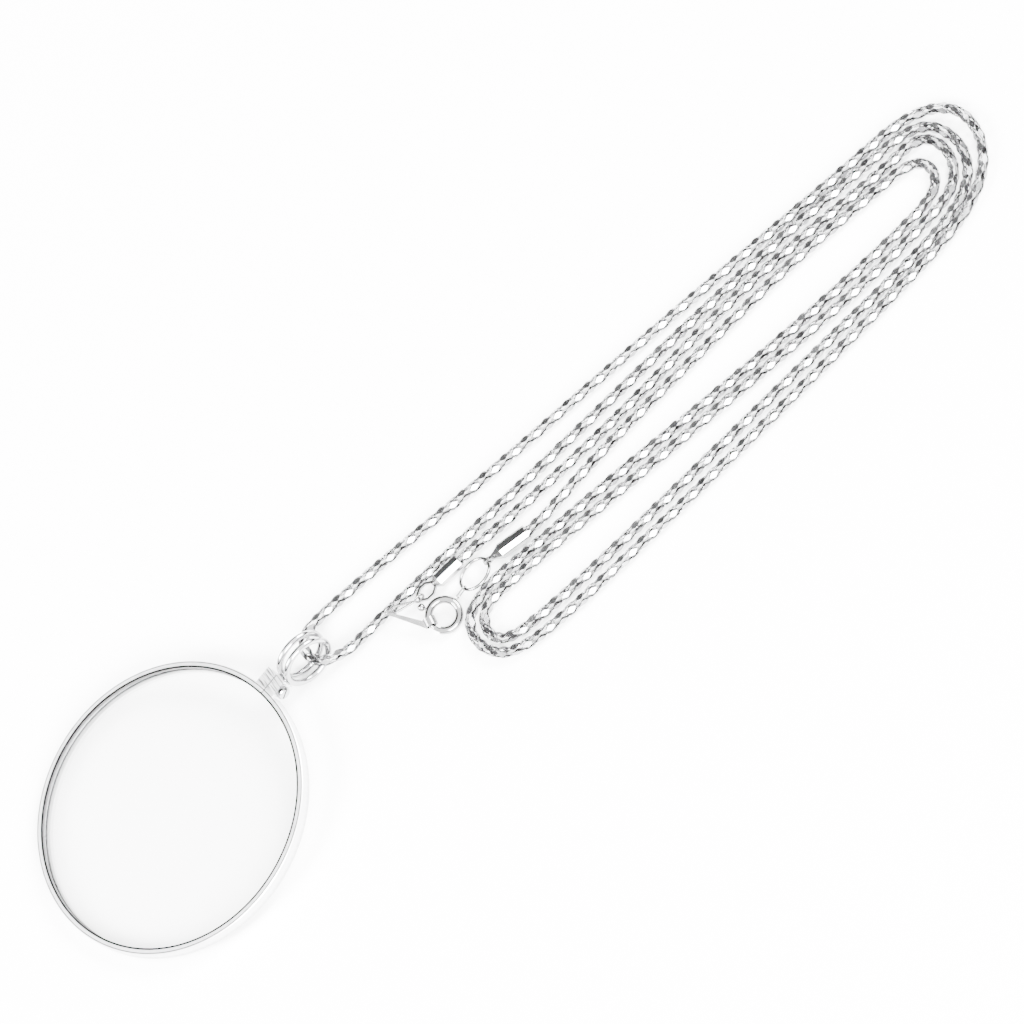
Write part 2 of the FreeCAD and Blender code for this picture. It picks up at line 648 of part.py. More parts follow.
def route_path(points):
    """Straight runs joined by tangent arcs, as one wire, with the arcs' radii."""
    edges, radii = [], []
    start = points[0]
    for before, corner, after in zip(points, points[1:], points[2:]):
        back, ahead = before - corner, after - corner
        trim = size("arc_share") * min(back.Length, ahead.Length)
        back.normalize()
        ahead.normalize()
        half_turn = (math.pi - back.getAngle(ahead)) / 2
        radius = trim / math.tan(half_turn)
        arc_start, arc_end = corner + back * trim, corner + ahead * trim
        bisector = (back + ahead).normalize()
        middle = corner + bisector * (radius / math.cos(half_turn) - radius)
        edges.append(Part.LineSegment(start, arc_start).toShape())
        edges.append(Part.Arc(arc_start, middle, arc_end).toShape())
        radii.append(radius)
        start = arc_end
    edges.append(Part.LineSegment(start, points[-1]).toShape())
    return Part.Wire(edges), radii


def make_chain(label, route):
    """The chain's outer form: a round tube along the route."""
    points = [route_point(point) for point in route]
    path, radii = route_path(points)
    half = size("chain_wide") / 2
    ring = Part.Wire([Part.Circle(points[0], points[1] - points[0], half).toShape()])
    tube = path.makePipeShell([ring], True, False)
    section = math.pi * half ** 2
    print(label, "length", round(path.Length, 1), "volume share",
          round(tube.Volume / (section * path.Length), 4))
    print(label, "bend radii", [round(radius, 1) for radius in radii])
    chain = DOC.addObject("Part::Feature", label)
    chain.Label = label
    chain.Shape = tube
    chain.Placement = Placement()
    return chain


PARTS = [
    make_bezel(), make_lens(), make_screw(), make_bail(),
    make_chain("chain_catch_side", CATCH_LENGTH), make_chain("chain_ring_side", RING_LENGTH),
    make_catch_cap(), make_ring_cap(), make_jump_ring(), make_spring_ring(), make_trigger(),
    make_catch_link(),
]
DOC.recompute()

for item in DOC.Objects:
    if "Invalid" in item.State or "Error" in item.State:
        raise RuntimeError(f"{item.Label} failed: {item.State}")
for part in PARTS:
    if part.Shape.isNull() or not part.Shape.isValid() or len(part.Shape.Solids) != 1:
        raise RuntimeError(f"{part.Label} is not one valid solid")

os.makedirs("parts", exist_ok=True)
for part in PARTS:
    part.Shape.exportStep(f"parts/{part.Label}.step")
    print(part.Label, round(part.Shape.Volume, 2), part.Shape.BoundBox)
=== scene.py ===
import logging
import math
from dataclasses import dataclass
from enum import Enum

import bpy
from mathutils import Matrix, Vector


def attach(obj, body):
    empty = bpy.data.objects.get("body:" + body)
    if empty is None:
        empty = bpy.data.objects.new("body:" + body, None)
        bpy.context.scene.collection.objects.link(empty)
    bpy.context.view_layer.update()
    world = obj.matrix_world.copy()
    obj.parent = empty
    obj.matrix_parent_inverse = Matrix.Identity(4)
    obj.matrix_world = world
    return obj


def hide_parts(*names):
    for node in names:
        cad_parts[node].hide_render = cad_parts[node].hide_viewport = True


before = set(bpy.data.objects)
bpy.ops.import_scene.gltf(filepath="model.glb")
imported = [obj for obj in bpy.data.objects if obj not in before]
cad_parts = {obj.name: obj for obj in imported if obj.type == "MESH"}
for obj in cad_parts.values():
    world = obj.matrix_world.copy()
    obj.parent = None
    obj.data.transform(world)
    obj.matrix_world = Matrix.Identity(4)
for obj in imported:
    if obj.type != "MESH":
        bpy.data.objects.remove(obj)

# A magnifier pendant laid down beside its own long, hollow, faceted chain.
# Metres, +Z up. The pendant is at -X, the folds of the chain run to +X.

LOG = logging.getLogger("magnifier_pendant")
MM = 0.001
BODY = "necklace"

Colour = tuple[float, float, float]
Point = tuple[float, ...]
Range = tuple[float, float]


# Finishes


class Tree:
    """Short calls for the node tree of one material or world."""

    def __init__(self, owner: bpy.types.Material | bpy.types.World) -> None:
        """Start from an empty tree.

        Args:
            owner: the material or world whose tree is built.
        """
        owner.use_nodes = True
        self.nodes = owner.node_tree.nodes
        self.links = owner.node_tree.links
        self.nodes.clear()

    def add(self, kind: str, **settings: object) -> bpy.types.Node:
        """Add one node.

        Args:
            kind: the node's type without its "ShaderNode" start.
            settings: the node's properties.

        Returns:
            The new node.
        """
        node = self.nodes.new("ShaderNode" + kind)
        for name, value in settings.items():
            setattr(node, name, value)
        return node

    def join(self, source: bpy.types.NodeSocket, target: bpy.types.NodeSocket) -> None:
        """Link an output to an input."""
        self.links.new(source, target)

    def noise(self, vector: bpy.types.NodeSocket, scale: float,
              detail: float = 2.0) -> bpy.types.NodeSocket:
        """Noise over a vector.

        Args:
            vector: the coordinates.
            scale: waves to a metre.
            detail: octaves.

        Returns:
            The noise's value, from 0 to 1.
        """
        node = self.add("TexNoise")
        node.inputs["Scale"].default_value = scale
        node.inputs["Detail"].default_value = detail
        self.join(vector, node.inputs["Vector"])
        return node.outputs["Fac"]

    def span(self, value: bpy.types.NodeSocket, low: float, high: float,
             start: float = 0.0, stop: float = 1.0) -> bpy.types.NodeSocket:
        """Map a value from one range to another, held at both ends.

        Args:
            value: the value.
            low: the result at the start.
            high: the result at the stop.
            start: where the value's range begins.
            stop: where it ends.

        Returns:
            The mapped value.
        """
        node = self.add("MapRange")
        node.inputs["From Min"].default_value = start
        node.inputs["From Max"].default_value = stop
        node.inputs["To Min"].default_value = low
        node.inputs["To Max"].default_value = high
        self.join(value, node.inputs["Value"])
        return node.outputs["Result"]

    def tones(self, value: bpy.types.NodeSocket, dark: Colour, light: Colour) -> bpy.types.NodeSocket:
        """A colour between a dark and a light tone.

        Args:
            value: 0 for the dark tone, 1 for the light one.
            dark: the dark tone.
            light: the light tone.

        Returns:
            The colour.
        """
        node = self.add("ValToRGB")
        node.color_ramp.elements[0].color = (*dark, 1.0)
        node.color_ramp.elements[1].color = (*light, 1.0)
        self.join(value, node.inputs["Fac"])
        return node.outputs["Color"]

    def stretched(self, scale: Point = (1.0, 1.0, 1.0),
                  turn: Point = (0.0, 0.0, 0.0)) -> bpy.types.NodeSocket:
        """Object coordinates, turned and then stretched.

        Args:
            scale: factor along each axis.
            turn: angles about the axes, in radians.

        Returns:
            The coordinates.
        """
        place = self.add("TexCoord")
        mapping = self.add("Mapping", vector_type="POINT")
        mapping.inputs["Rotation"].default_value = turn
        mapping.inputs["Scale"].default_value = scale
        self.join(place.outputs["Object"], mapping.inputs["Vector"])
        return mapping.outputs["Vector"]

    def relief(self, height: bpy.types.NodeSocket, depth: float) -> bpy.types.NodeSocket:
        """Raise a surface where a pattern is light.

        Args:
            height: the pattern, from 0 to 1.
            depth: the height of the relief, in metres.

        Returns:
            The surface's changed direction.
        """
        node = self.add("Bump")
        node.inputs["Strength"].default_value = 1.0
        node.inputs["Distance"].default_value = depth
        self.join(height, node.inputs["Height"])
        return node.outputs["Normal"]

    def close(self, shader: bpy.types.Node) -> None:
        """Send a shader to the material's output."""
        self.join(shader.outputs[0], self.add("OutputMaterial").inputs["Surface"])


@dataclass(frozen=True)
class Silver:
    """Silver with fine, uneven polishing marks."""

    name: str
    dark: Colour = (0.56, 0.56, 0.57)
    light: Colour = (0.74, 0.74, 0.75)
    smooth: float = 0.05
    rough: float = 0.14
    patch: float = 420.0
    mark_stretch: Point = (1.0, 0.12, 1.0)
    mark_turn: float = math.radians(27.0)
    mark_scale: float = 3000.0
    mark_range: Range = (0.3, 0.75)
    mark_depth: float = 0.0000015

    def build(self) -> bpy.types.Material:
        """Build the finish's material.

        Returns:
            The material.
        """
        material = bpy.data.materials.new(self.name)
        tree = Tree(material)
        even = tree.stretched()
        patches = tree.noise(even, self.patch, 4.0)
        across = tree.stretched(self.mark_stretch, (0.0, 0.0, self.mark_turn))
        marks = tree.noise(across, self.mark_scale, 3.0)
        shader = tree.add("BsdfPrincipled")
        shader.inputs["Metallic"].default_value = 1.0
        tree.join(tree.tones(patches, self.dark, self.light), shader.inputs["Base Color"])
        gloss = tree.span(marks, self.smooth, self.rough, *self.mark_range)
        tree.join(gloss, shader.inputs["Roughness"])
        tree.join(tree.relief(marks, self.mark_depth), shader.inputs["Normal"])
        tree.close(shader)
        return material


@dataclass(frozen=True)
class LinkSilver:
    """The chain's silver: cut flats, with flecked wires between them darkened as painted shade."""

    name: str
    # Painted shade: these tones are far darker than silver, and the wires darker again, standing in
    # for the shade between the flats.
    flat_dark: Colour = (0.17, 0.17, 0.175)
    flat_light: Colour = (0.38, 0.38, 0.385)
    shaded_wire_dark: Colour = (0.03, 0.03, 0.031)
    shaded_wire_light: Colour = (0.24, 0.24, 0.245)
    smooth: float = 0.18
    rough: float = 0.30
    patch: float = 260.0
    fleck: float = 1900.0
    grain: float = 5200.0
    grain_depth: float = 0.000006
    patch_range: Range = (0.35, 0.65)
    fleck_range: Range = (0.38, 0.62)
    grain_range: Range = (0.25, 0.75)

    def build(self) -> bpy.types.Material:
        """Build the finish's material.

        Returns:
            The material.
        """
        material = bpy.data.materials.new(self.name)
        tree = Tree(material)
        even = tree.stretched()
        patches = tree.span(tree.noise(even, self.patch, 3.0), 0.0, 1.0, *self.patch_range)
        flecks = tree.span(tree.noise(even, self.fleck, 2.0), 0.0, 1.0, *self.fleck_range)
        grain = tree.noise(even, self.grain, 2.0)
        flat = tree.add("Attribute", attribute_name=HollowLink.FLAT)
        tone = tree.add("Mix", data_type="RGBA")
        tree.join(flat.outputs["Fac"], tone.inputs["Factor"])
        tree.join(tree.tones(flecks, self.shaded_wire_dark, self.shaded_wire_light), tone.inputs["A"])
        tree.join(tree.tones(patches, self.flat_dark, self.flat_light), tone.inputs["B"])
        shader = tree.add("BsdfPrincipled")
        shader.inputs["Metallic"].default_value = 1.0
        tree.join(tone.outputs["Result"], shader.inputs["Base Color"])
        gloss = tree.span(grain, self.smooth, self.rough, *self.grain_range)
        tree.join(gloss, shader.inputs["Roughness"])
        tree.join(tree.relief(grain, self.grain_depth), shader.inputs["Normal"])
        tree.close(shader)
        return material


@dataclass(frozen=True)
class BezelSilver:
    """Satin silver with painted dark reflection lines along the glass and the outer edge, and brushed
    lines across the lugs.

    Each painted reflection band is a distance from the glass's middle, in millimetres, and the share
    of the tone there: the low shares paint the dark reflection lines.
    """

    name: str
    dark: Colour = (0.74, 0.74, 0.75)
    light: Colour = (0.90, 0.90, 0.91)
    smooth: float = 0.38
    rough: float = 0.54
    patch: float = 240.0
    centre: Point = (-0.068685, 0.00001, 0.001419)
    # Painted reflection: a low share darkens the silver into lines where the polished edges would
    # reflect dark.
    painted_reflection_bands: tuple[Range, ...] = (
        (22.20, 0.16), (22.28, 0.16), (22.31, 0.010), (22.58, 0.010), (22.64, 1.0), (23.03, 1.0),
        (23.09, 0.09), (23.20, 0.09), (23.27, 1.0),
    )
    line_tone: float = 0.16
    line_range: Range = (0.36, 0.52)
    texture_range: Range = (0.3, 0.75)
    lug_edge: Range = (0.0234, 0.0236)
    line_stretch: Point = (1.0, 0.06, 1.0)
    line_scale: float = 5200.0
    line_turn: float = math.radians(-8.0)
    line_depth: float = 0.000003
    grain_scale: float = 2600.0

    def build(self) -> bpy.types.Material:
        """Build the finish's material.

        Returns:
            The material.
        """
        material = bpy.data.materials.new(self.name)
        tree = Tree(material)
        even = tree.stretched()
        patches = tree.noise(even, self.patch, 3.0)
        grain = tree.noise(even, self.grain_scale, 3.0)
        across = tree.stretched(self.line_stretch, (0.0, 0.0, self.line_turn))
        lines = tree.noise(across, self.line_scale, 2.0)

        reach = tree.add("VectorMath", operation="DISTANCE")
        reach.inputs[1].default_value = self.centre
        tree.join(even, reach.inputs[0])
        on_lug = tree.span(reach.outputs["Value"], 0.0, 1.0, *self.lug_edge)
        texture = tree.add("Mix", data_type="FLOAT")
        tree.join(on_lug, texture.inputs["Factor"])
        tree.join(grain, texture.inputs["A"])
        tree.join(lines, texture.inputs["B"])

        # The bands paint dark reflection lines into the colour; the lines on the lugs are brushing.
        shade = tree.add("Math", operation="MULTIPLY")
        tree.join(self.painted_reflection_tone(tree, reach.outputs["Value"]), shade.inputs[0])
        lined = tree.add("Mix", data_type="FLOAT")
        tree.join(on_lug, lined.inputs["Factor"])
        lined.inputs["A"].default_value = 1.0
        tree.join(tree.span(lines, self.line_tone, 1.0, *self.line_range), lined.inputs["B"])
        tree.join(lined.outputs["Result"], shade.inputs[1])
        tone = tree.add("Mix", data_type="RGBA")
        tree.join(shade.outputs["Value"], tone.inputs["Factor"])
        tone.inputs["A"].default_value = (0.0, 0.0, 0.0, 1.0)
        tree.join(tree.tones(patches, self.dark, self.light), tone.inputs["B"])

        shader = tree.add("BsdfPrincipled")
        shader.inputs["Metallic"].default_value = 1.0
        tree.join(tone.outputs["Result"], shader.inputs["Base Color"])
        gloss = tree.span(texture.outputs["Result"], self.smooth, self.rough, *self.texture_range)
        tree.join(gloss, shader.inputs["Roughness"])
        tree.join(tree.relief(texture.outputs["Result"], self.line_depth), shader.inputs["Normal"])
        tree.close(shader)
        return material


    def painted_reflection_tone(self, tree: Tree, reach: bpy.types.NodeSocket) -> bpy.types.NodeSocket:
        """The share of the tone at a distance from the glass's middle, which paints the dark
        reflection lines.

        Args:
            tree: the material's tree.
            reach: the distance, in metres.

        Returns:
            The share, from 0 to 1.
        """
        first, last = self.painted_reflection_bands[0][0], self.painted_reflection_bands[-1][0]
        node = tree.add("ValToRGB")
        stops = node.color_ramp.elements
        stops.remove(stops[-1])
        stops[0].color = (self.painted_reflection_bands[0][1],) * 3 + (1.0,)
        for place, share in self.painted_reflection_bands[1:]:
            stops.new((place - first) / (last - first)).color = (share, share, share, 1.0)
        tree.join(tree.span(reach, 0.0, 1.0, first * MM, last * MM), node.inputs["Fac"])
        return node.outputs["Color"]


@dataclass(frozen=True)
class ClearGlass:
    """Clear glass with the faintest unevenness in its polish."""

    name: str
    dark: Colour = (0.975, 0.98, 0.98)
    light: Colour = (0.995, 0.997, 0.997)
    index: float = 1.5
    body: float = 0.35
    patch: float = 60.0
    smooth: float = 0.0
    rough: float = 0.02
    patch_range: Range = (0.4, 0.8)

    def build(self) -> bpy.types.Material:
        """Build the finish's material.

        Returns:
            The material.
        """
        material = bpy.data.materials.new(self.name)
        tree = Tree(material)
        patches = tree.noise(tree.stretched(), self.patch, 2.0)
        shader = tree.add("BsdfPrincipled")
        shader.inputs["IOR"].default_value = self.index
        shader.inputs["Transmission Weight"].default_value = 1.0
        shader.inputs["Alpha"].default_value = self.body
        tree.join(tree.tones(patches, self.dark, self.light), shader.inputs["Base Color"])
        gloss = tree.span(patches, self.smooth, self.rough, *self.patch_range)
        tree.join(gloss, shader.inputs["Roughness"])
        tree.close(shader)
        return material


@dataclass(frozen=True)
class PaleSurface:
    """The pale, matt surface that everything lies on."""

    name: str
    dark: Colour = (0.90, 0.90, 0.90)
    light: Colour = (0.93, 0.93, 0.93)
    rough: float = 0.8
    patch: float = 9.0

    def build(self) -> bpy.types.Material:
        """Build the finish's material.

        Returns:
            The material.
        """
        material = bpy.data.materials.new(self.name)
        tree = Tree(material)
        patches = tree.noise(tree.stretched(), self.patch, 2.0)
        shader = tree.add("BsdfPrincipled")
        shader.inputs["Roughness"].default_value = self.rough
        tree.join(tree.tones(patches, self.dark, self.light), shader.inputs["Base Color"])
        tree.close(shader)
        return material


# Chain


class ChainSide(Enum):
    """The two lengths of the chain, by the solid that each stands for."""

    CATCH = "chain_catch_side"
    RING = "chain_ring_side"


@dataclass(frozen=True)
class ChainRoute:
    """The smooth line that one length of the chain follows. Points in millimetres."""

    side: ChainSide
    points: tuple[Point, ...]
    rest: float = 0.9
    layout: Point = (0.115, 0.58)
    steps: int = 12

    def place(self, point: Point) -> Vector:
        """Where a route point is, in metres; one with no height lies on the surface."""
        height = point[2] if len(point) == 3 else self.rest
        return Vector((point[0] + self.layout[0], point[1] + self.layout[1], height)) * MM

    def line(self) -> bpy.types.Mesh:
        """Draw the route as one NURBS spline and read its points.

        Returns:
            A mesh of points and edges along the route.
        """
        curve = bpy.data.curves.new(self.side.value + "_route", "CURVE")
        curve.dimensions = "3D"
        curve.resolution_u = self.steps
        spline = curve.splines.new("NURBS")
        spline.points.add(len(self.points) - 1)
        for held, point in zip(spline.points, self.points):
            held.co = (*self.place(point), 1.0)
        spline.order_u = 3
        spline.use_endpoint_u = True
        holder = bpy.data.objects.new(curve.name, curve)
        bpy.context.scene.collection.objects.link(holder)
        graph = bpy.context.evaluated_depsgraph_get()
        mesh = bpy.data.meshes.new_from_object(holder.evaluated_get(graph))
        bpy.data.objects.remove(holder)
        bpy.data.curves.remove(curve)
        return mesh


@dataclass(frozen=True)
class HollowLink:
    """One link: four cut flats with sloping rims round the chain, on two rings of wire.

    The rear wires dip under the flats of the link before, and the front wires under those of the
    link after. The sizes are in millimetres. Each point of a section is a place along the chain
    and a distance from its middle line.
    """

    FLAT = "cut_flat"

    flat_side: int = 1
    flat_rows: tuple[int, ...] = (1, 2, 3, 4)
    tail: tuple[Point, ...] = ((-1.0, 0.73), (-0.84, 0.79), (0.84, 0.79), (1.0, 0.73), (0.0, 0.62))
    shoulder: tuple[Point, ...] = (
        (-0.64, 0.756), (-0.52, 0.816), (0.52, 0.816), (0.64, 0.756), (0.0, 0.65))
    bend: tuple[Point, ...] = (
        (-0.26, 0.825), (-0.17, 0.883), (0.17, 0.883), (0.26, 0.825), (0.0, 0.72))
    corner: tuple[Point, ...] = (
        (-0.12, 0.855), (-0.05, 0.88), (0.05, 0.88), (0.12, 0.855), (0.0, 0.75))
    rear_dip: tuple[Point, ...] = (
        (-1.48, 0.60), (-1.43, 0.62), (-1.33, 0.62), (-1.28, 0.60), (-1.38, 0.42))
    front_corner: tuple[Point, ...] = ((-0.10, 0.74), (0.02, 0.84), (0.14, 0.74))
    front_dip: tuple[Point, ...] = ((1.24, 0.50), (1.38, 0.66), (1.52, 0.50))
    shoulder_turn: float = math.radians(14.5)
    bend_turn: float = math.radians(26.5)
    corner_turn: float = math.radians(31.3)
    arms: int = 4

    def ring(self, rows: list[tuple[float, tuple[Point, ...]]]) -> tuple[list[Point], list[Point]]:
        """A closed ring through sections set at angles about the Z axis.

        Args:
            rows: each section with its angle.

        Returns:
            The ring's points and faces.
        """
        around = len(rows[0][1])
        points = [(out * MM * math.cos(turn), out * MM * math.sin(turn), along * MM)
                  for turn, row in rows for along, out in row]
        faces = []
        for count in range(len(rows)):
            here, there = count * around, (count + 1) % len(rows) * around
            for edge in range(around):
                after = (edge + 1) % around
                faces.append((here + edge, here + after, there + after, there + edge))
        return points, faces

    def is_flat(self, face: int, rows: int) -> bool:
        """Whether a face of the rear ring is part of a flat.

        Args:
            face: the face's number.
            rows: sections to an arm.

        Returns:
            True between the two rims of a flat.
        """
        row, side = divmod(face, len(self.tail))
        return side == self.flat_side and row % rows in self.flat_rows

    def build(self) -> bpy.types.Object:
        """Build the link about the Z axis.

        Returns:
            The link's object.
        """
        rear, front = [], []
        for arm in range(self.arms):
            middle = arm * 2.0 * math.pi / self.arms
            dip = middle + math.pi / self.arms
            before, after = middle - self.corner_turn, middle + self.corner_turn
            rear += [
                (before, self.corner),
                (middle - self.bend_turn, self.bend),
                (middle - self.shoulder_turn, self.shoulder),
                (middle, self.tail),
                (middle + self.shoulder_turn, self.shoulder),
                (middle + self.bend_turn, self.bend),
                (after, self.corner),
                (dip, self.rear_dip),
            ]
            front += [(before, self.front_corner), (after, self.front_corner), (dip, self.front_dip)]
        points, faces = self.ring(rear)
        rows = len(rear) // self.arms
        flats = [float(self.is_flat(count, rows)) for count in range(len(faces))]
        more_points, more_faces = self.ring(front)
        faces += [tuple(corner + len(points) for corner in face) for face in more_faces]
        points += more_points
        flats += [0.0] * len(more_faces)
        mesh = bpy.data.meshes.new("link")
        mesh.from_pydata(points, [], faces)
        marked = mesh.attributes.new(self.FLAT, "FLOAT", "FACE")
        marked.data.foreach_set("value", flats)
        mesh.update()
        link = bpy.data.objects.new("link", mesh)
        bpy.context.scene.collection.objects.link(link)
        return link


@dataclass(frozen=True)
class LinkRun:
    """The node tree that sets links along a route, every other one turned by half a flat."""

    pitch: float = 2.1
    sway: float = math.radians(26.0)
    sway_scale: float = 14.0
    wobble: float = math.radians(3.0)

    INPUTS = (
        ("Link", "NodeSocketObject"), ("Count", "NodeSocketInt"), ("First turn", "NodeSocketFloat"),
        ("Sway", "NodeSocketFloat"), ("Sway scale", "NodeSocketFloat"), ("Wobble", "NodeSocketFloat"),
        ("Seed", "NodeSocketInt"), ("Finish", "NodeSocketMaterial"),
    )

    def tree(self) -> bpy.types.NodeTree:
        """Build the node tree.

        Returns:
            The tree, which takes a line of edges and gives the finished links.
        """
        tree = bpy.data.node_groups.new("links_along_route", "GeometryNodeTree")
        panel = tree.interface
        panel.new_socket("Route", in_out="INPUT", socket_type="NodeSocketGeometry")
        for name, kind in self.INPUTS:
            panel.new_socket(name, in_out="INPUT", socket_type=kind)
        panel.new_socket("Links", in_out="OUTPUT", socket_type="NodeSocketGeometry")

        def add(kind: str, **settings: object) -> bpy.types.Node:
            """Add one node.

            Args:
                kind: the node's full type.
                settings: the node's properties.

            Returns:
                The new node.
            """
            node = tree.nodes.new(kind)
            for name, value in settings.items():
                setattr(node, name, value)
            return node

        def math_node(operation: str, first: object, second: object) -> bpy.types.NodeSocket:
            """Work out one sum.

            Args:
                operation: the kind of sum.
                first: a socket or a number.
                second: a socket or a number.

            Returns:
                The result.
            """
            node = add("ShaderNodeMath", operation=operation)
            for socket, value in zip(node.inputs, (first, second)):
                if isinstance(value, bpy.types.NodeSocket):
                    tree.links.new(value, socket)
                else:
                    socket.default_value = value
            return node.outputs[0]

        join = tree.links.new
        given = add("NodeGroupInput").outputs
        line = add("GeometryNodeMeshToCurve")
        join(given["Route"], line.inputs["Mesh"])
        normal = add("GeometryNodeSetCurveNormal", mode="Z_UP")
        join(line.outputs["Curve"], normal.inputs["Curve"])
        half = math_node("DIVIDE", 0.5, given["Count"])
        trim = add("GeometryNodeTrimCurve", mode="FACTOR")
        join(normal.outputs["Curve"], trim.inputs["Curve"])
        join(half, trim.inputs["Start"])
        join(math_node("SUBTRACT", 1.0, half), trim.inputs["End"])
        spots = add("GeometryNodeCurveToPoints", mode="COUNT")
        join(trim.outputs["Curve"], spots.inputs["Curve"])
        join(given["Count"], spots.inputs["Count"])
        axes = add("FunctionNodeAxesToRotation", primary_axis="Z", secondary_axis="X")
        join(spots.outputs["Tangent"], axes.inputs["Primary Axis"])
        join(spots.outputs["Normal"], axes.inputs["Secondary Axis"])

        index = add("GeometryNodeInputIndex").outputs["Index"]
        other = math_node("MULTIPLY", math_node("MODULO", index, 2.0), math.pi / HollowLink.arms)
        turn = math_node("ADD", other, given["First turn"])
        waves = add("ShaderNodeTexNoise")
        join(add("GeometryNodeInputPosition").outputs["Position"], waves.inputs["Vector"])
        join(given["Sway scale"], waves.inputs["Scale"])
        sway = math_node("MULTIPLY", math_node("SUBTRACT", waves.outputs["Fac"], 0.5), given["Sway"])
        chance = add("FunctionNodeRandomValue", data_type="FLOAT")
        join(math_node("MULTIPLY", given["Wobble"], -1.0), chance.inputs[2])
        join(given["Wobble"], chance.inputs[3])
        join(given["Seed"], chance.inputs["Seed"])
        turn = math_node("ADD", turn, math_node("ADD", sway, chance.outputs[1]))
        about = add("FunctionNodeAxisAngleToRotation")
        about.inputs["Axis"].default_value = (0.0, 0.0, 1.0)
        join(turn, about.inputs["Angle"])
        turned = add("FunctionNodeRotateRotation", rotation_space="LOCAL")
        join(axes.outputs["Rotation"], turned.inputs["Rotation"])
        join(about.outputs["Rotation"], turned.inputs["Rotate By"])

        shape = add("GeometryNodeObjectInfo", transform_space="ORIGINAL")
        shape.inputs["As Instance"].default_value = True
        join(given["Link"], shape.inputs["Object"])
        set_out = add("GeometryNodeInstanceOnPoints")
        join(spots.outputs["Points"], set_out.inputs["Points"])
        join(shape.outputs["Geometry"], set_out.inputs["Instance"])
        join(turned.outputs["Rotation"], set_out.inputs["Rotation"])
        real = add("GeometryNodeRealizeInstances")
        join(set_out.outputs["Instances"], real.inputs["Geometry"])
        dress = add("GeometryNodeSetMaterial")
        join(real.outputs["Geometry"], dress.inputs["Geometry"])
        join(given["Finish"], dress.inputs["Material"])
        join(dress.outputs["Geometry"], add("NodeGroupOutput").inputs["Links"])
        return tree


@dataclass(frozen=True)
class Chain:
    """The whole chain: two lengths of links that meet inside the bail."""

    routes: tuple[ChainRoute, ...]
    link: HollowLink
    run: LinkRun
    finish: LinkSilver

    def count(self, line: bpy.types.Mesh) -> int:
        """How many links fit a line.

        Args:
            line: points and edges along the route.

        Returns:
            The whole number of links nearest to the pitch.
        """
        spots = [vertex.co for vertex in line.vertices]
        length = sum((after - before).length for before, after in zip(spots, spots[1:]))
        return round(length / (self.run.pitch * MM))

    def build(self) -> list[bpy.types.Object]:
        """Build both lengths and put them in place of their solids.

        Returns:
            The two finished pieces.
        """
        tree = self.run.tree()
        link = self.link.build()
        material = self.finish.build()
        sockets = {
            item.name: item.identifier for item in tree.interface.items_tree if item.in_out == "INPUT"
        }
        made, set_so_far = [], 0
        for seed, route in enumerate(self.routes):
            line = route.line()
            count = self.count(line)
            holder = bpy.data.objects.new(route.side.value + "_line", line)
            bpy.context.scene.collection.objects.link(holder)
            modifier = holder.modifiers.new("links", "NODES")
            modifier.node_group = tree
            values = {
                "Link": link, "Count": count,
                "First turn": set_so_far % 2 * math.pi / self.link.arms,
                "Sway": self.run.sway, "Sway scale": self.run.sway_scale, "Wobble": self.run.wobble,
                "Seed": seed, "Finish": material,
            }
            for name, value in values.items():
                modifier[sockets[name]] = value
            graph = bpy.context.evaluated_depsgraph_get()
            mesh = bpy.data.meshes.new_from_object(holder.evaluated_get(graph))
            bpy.data.objects.remove(holder)
            piece = bpy.data.objects.new(route.side.value + "_links", mesh)
            bpy.context.scene.collection.objects.link(piece)
            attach(piece, BODY)
            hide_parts(route.side.value)
            made.append(piece)
            set_so_far += count
            LOG.info("%s: %d links", piece.name, count)
        bpy.data.objects.remove(link)
        return made


# Pieces whose solids are shown as they are


def dress(nodes: tuple[str, ...], material: bpy.types.Material) -> None:
    """Give solids their finish.

    Args:
        nodes: the solids' names.
        material: the finish's material.
    """
    for name in nodes:
        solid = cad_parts[name]
        if not solid.material_slots:
            solid.data.materials.append(material)
        for held in solid.material_slots:
            held.material = material
        LOG.info("%s: %s", name, material.name)


@dataclass(frozen=True)
class Pendant:
    """The glass in its bezel, with its screw and its two-ring bail."""

    rim: BezelSilver
    glass: ClearGlass
    polished: Silver

    def build(self) -> None:
        """Dress the pendant's solids."""
        dress(("bezel",), self.rim.build())
        dress(("lens",), self.glass.build())
        dress(("bail", "clamp_screw"), self.polished.build())


@dataclass(frozen=True)
class Clasp:
    """The end caps, the jump ring, the spring ring and the catch link."""

    caps: Silver
    rings: Silver
    strip: Silver

    def build(self) -> None:
        """Dress the clasp's solids."""
        dress(("end_cap_catch", "end_cap_ring"), self.caps.build())
        dress(("jump_ring", "spring_ring", "trigger"), self.rings.build())
        dress(("catch_link",), self.strip.build())


# Studio


@dataclass(frozen=True)
class Softbox:
    """One soft, square light."""

    name: str
    place: Point
    aim: Point
    side: float
    power: float

    def build(self) -> None:
        """Put the light in the scene, facing its aim."""
        lamp = bpy.data.lights.new(self.name, "AREA")
        lamp.shape = "SQUARE"
        lamp.size = self.side
        lamp.energy = self.power
        holder = bpy.data.objects.new(self.name, lamp)
        towards = Vector(self.aim) - Vector(self.place)
        holder.matrix_world = (
            Matrix.Translation(self.place) @ towards.to_track_quat("-Z", "Y").to_matrix().to_4x4())
        bpy.context.scene.collection.objects.link(holder)


